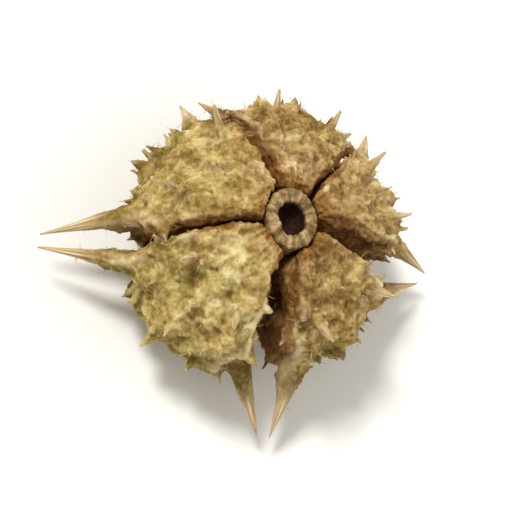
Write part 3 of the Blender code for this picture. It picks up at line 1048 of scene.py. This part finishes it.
@dataclass
class StalkEnd:
    """Broken, hollow end of the stalk, held between the nutlets' inner edges."""

    finish: bpy.types.Material
    centre: Vector
    top_z: float = 6.30 * MM
    rim_radius: float = 1.20 * MM
    hole_radius: float = 0.66 * MM
    oval: tuple = (0.93, 1.08)
    crown: float = 0.18 * MM
    hole_floor_z: float = 5.2 * MM
    socket_low_z: float = 3.9 * MM
    socket_high_z: float = 4.9 * MM
    column_radius: float = 0.16 * MM
    foot_z: float = 3.1 * MM
    crown_steps: int = 6
    turn_steps: int = 120
    chip_height: float = 0.16 * MM
    rib_height: float = 0.05 * MM
    fibre_width: float = 0.17 * MM
    fibre_length: float = 1.0 * MM

    def outline(self) -> list[tuple[float, float]]:
        """Radius and height of the half section, from the hole's floor to the foot."""
        wall_middle = (self.rim_radius + self.hole_radius) / 2.0
        half_wall = (self.rim_radius - self.hole_radius) / 2.0
        turns = [math.pi * (1.0 - step / self.crown_steps) for step in range(self.crown_steps + 1)]
        crown = [(wall_middle + half_wall * math.cos(turn),
                  self.top_z - self.crown * (1.0 - math.sin(turn))) for turn in turns]
        return [(0.0, self.hole_floor_z),
                (self.hole_radius * 0.75, self.hole_floor_z + 0.06 * MM),
                (self.hole_radius * 0.95, self.hole_floor_z + 0.35 * MM),
                *crown,
                (self.rim_radius * 0.96, self.socket_high_z + 0.15 * MM),
                (self.rim_radius * 0.64, self.socket_high_z - 0.40 * MM),
                (self.column_radius * 1.4, self.socket_low_z + 0.10 * MM),
                (self.column_radius, self.socket_low_z - 0.15 * MM),
                (self.column_radius * 0.8, self.foot_z + 0.05 * MM),
                (0.0, self.foot_z)]

    def build(self) -> bpy.types.Object:
        """Turns the ring, then roughens its rim and its sides."""
        ring = bmesh.new()
        verts = [ring.verts.new((radius, 0.0, height)) for radius, height in self.outline()]
        edges = [ring.edges.new(pair) for pair in zip(verts, verts[1:])]
        bmesh.ops.subdivide_edges(ring, edges=edges, cuts=4)
        bmesh.ops.spin(ring, geom=ring.verts[:] + ring.edges[:], axis=(0.0, 0.0, 1.0),
                       cent=(0.0, 0.0, 0.0), steps=self.turn_steps, angle=math.tau, use_merge=True)
        bmesh.ops.remove_doubles(ring, verts=ring.verts, dist=0.004 * MM)
        bmesh.ops.recalc_face_normals(ring, faces=ring.faces)
        piece = new_piece("pedicel_stub_fibre", ring)
        mesh = piece.data
        points = read_points(mesh)
        normals = read_normals(mesh)
        out = np.linalg.norm(points[:, :2], axis=1)
        depth = self.top_z - points[:, 2]
        rim = 1.0 - ease(0.0, 0.7 * MM, depth)
        chips = perlin(points * np.array((1.0, 1.0, 0.0)), 0.62 * MM, Vector((3.0, 5.0, 7.0)))
        around = unit(points * np.array((1.0, 1.0, 0.0))) * self.rim_radius / self.fibre_width
        drawn = around + np.outer((out - points[:, 2]) / self.fibre_length, (0.0, 0.0, 1.0))
        ribs = perlin(drawn, 1.0, Vector((9.0, 2.0, 4.0)))
        ribs += 0.7 * perlin(drawn, 2.3, Vector((1.0, 8.0, 6.0)))
        swell = ease(self.socket_high_z, self.top_z - 0.3 * MM, points[:, 2])
        points += normals * (ribs * self.rib_height * swell)[:, None]
        points[:, 2] += rim * self.chip_height * (chips * 1.5 - 0.4)
        points *= np.array((*self.oval, 1.0))
        rim_colour = 1.0 - ease(0.1 * MM, 0.8 * MM, depth)
        # Painted shade, almost black, down the hole below the rim
        hole_shade = (out < self.hole_radius * 1.06) * (depth < self.top_z - self.hole_floor_z + 0.2 * MM)
        hole_shade = hole_shade * ease(0.12 * MM, 0.42 * MM, depth + ribs * 0.10 * MM)
        points += np.array(self.centre)
        write_points(mesh, points)
        write_attribute(mesh, "rim", rim_colour)
        write_attribute(mesh, "hole_shade", hole_shade)
        write_attribute(mesh, "streak", 0.5 + 0.5 * ribs)
        mesh.shade_smooth()
        mesh.materials.append(self.finish)
        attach(piece, ROOT_BODY)
        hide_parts("pedicel_stub")
        return piece


@dataclass(frozen=True)
class Studio:
    """Pale floor, soft lights and a camera at the photograph's angle to the fruit."""

    centre: Vector
    floor_size: float = 6.0
    floor_colour: str = "#F6F4EF"
    floor_roughness: float = 0.9
    sky_colour: str = "#F8F6F1"
    lens: float = 100.0
    sensor: float = 36.0
    view_width: float = 21.5 * MM
    azimuth: float = 217.0
    elevation: float = 62.0
    axis_in_picture: float = 37.0
    sky: float = 0.52
    horizon: float = 1.05
    lamps: tuple = (("key", 135.0, 52.0, 2.6, 14.0), ("fill", 330.0, 40.0, 0.6, 60.0))

    def lay_floor(self) -> bpy.types.Object:
        """Plain floor at the level that the fruit rests on."""
        sheet = bmesh.new()
        bmesh.ops.create_grid(sheet, x_segments=1, y_segments=1, size=self.floor_size / 2.0)
        floor = new_piece("floor", sheet)
        board = plain_material("matt_white_board", self.floor_roughness)
        shader = board.node_tree.nodes["Principled BSDF"]
        shader.inputs["Base Color"].default_value = linear(self.floor_colour)
        floor.data.materials.append(board)
        return floor

    def light(self) -> None:
        """Soft key from the picture's upper left, and an even pale sky."""
        for name, azimuth, height, strength, spread in self.lamps:
            lamp = bpy.data.lights.new(name, "SUN")
            lamp.energy = strength
            lamp.angle = math.radians(spread)
            holder = bpy.data.objects.new(name, lamp)
            away = polar(math.cos(math.radians(height)), azimuth, math.sin(math.radians(height)))
            holder.rotation_euler = away.to_track_quat("Z", "Y").to_euler()
            holder.location = away * 0.3
            bpy.context.scene.collection.objects.link(holder)
        world = bpy.data.worlds.new("pale_sky")
        world.use_nodes = True
        sky = world.node_tree.nodes["Background"]
        sky.inputs["Color"].default_value = linear(self.sky_colour)
        heading = add_node(world.node_tree, "ShaderNodeTexCoord").outputs["Generated"]
        height = add_node(world.node_tree, "ShaderNodeSeparateXYZ", links={"Vector": heading})
        glow = add_node(world.node_tree, "ShaderNodeMapRange",
                        {"From Min": 0.02, "From Max": 0.30, "To Min": self.horizon,
                         "To Max": self.sky},
                        {"Value": height.outputs["Z"]})
        world.node_tree.links.new(glow.outputs[0], sky.inputs["Strength"])
        bpy.context.scene.world = world
        bpy.context.scene.view_settings.view_transform = "Standard"

    def set_camera(self) -> bpy.types.Object:
        """Long lens aimed at the fruit, turned so that its axis leans as in the photograph."""
        data = bpy.data.cameras.new("camera")
        data.lens = self.lens
        data.sensor_width = self.sensor
        camera = bpy.data.objects.new("camera", data)
        height = math.radians(self.elevation)
        back = polar(math.cos(height), self.azimuth, math.sin(height))
        distance = self.view_width * self.lens / self.sensor
        turn = (-back).to_track_quat("-Z", "Y").to_matrix().to_4x4()
        roll = Matrix.Rotation(math.radians(90.0 - self.axis_in_picture), 4, "Z")
        camera.matrix_world = Matrix.Translation(self.centre + back * distance) @ turn @ roll
        data.clip_start = distance * 0.05
        data.clip_end = distance * 50.0
        bpy.context.scene.collection.objects.link(camera)
        bpy.context.scene.camera = camera
        return camera


def main() -> None:
    """Builds the fruit's pieces in order and sets them in the studio."""
    logging.basicConfig(level=logging.INFO, format="%(name)s: %(message)s")
    low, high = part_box("pedicel_stub")
    axis = Vector(((low.x + high.x) / 2.0, (low.y + high.y) / 2.0, 0.0))
    husk = HuskFinish().build()
    hair = BristleFinish().build()
    for number, (size, green, tan, tone_and_shade) in enumerate(NUTLETS):
        nutlet = Nutlet(number, husk, hair, axis, size, green, tan, tone_and_shade)
        skin = nutlet.build()
        LOG.info("%s: %d faces", skin.name, len(skin.data.polygons))
        hairs = nutlet.grow_hairs(skin)
        LOG.info("%s: %d faces", hairs.name, len(hairs.data.polygons))
    stalk = StalkEnd(StalkFinish().build(), axis).build()
    LOG.info("%s: %d faces", stalk.name, len(stalk.data.polygons))
    studio = Studio(centre=Vector((0.0, 0.0, 3.0 * MM)))
    studio.lay_floor()
    studio.light()
    studio.set_camera()


if __name__ == "__main__":
    main()
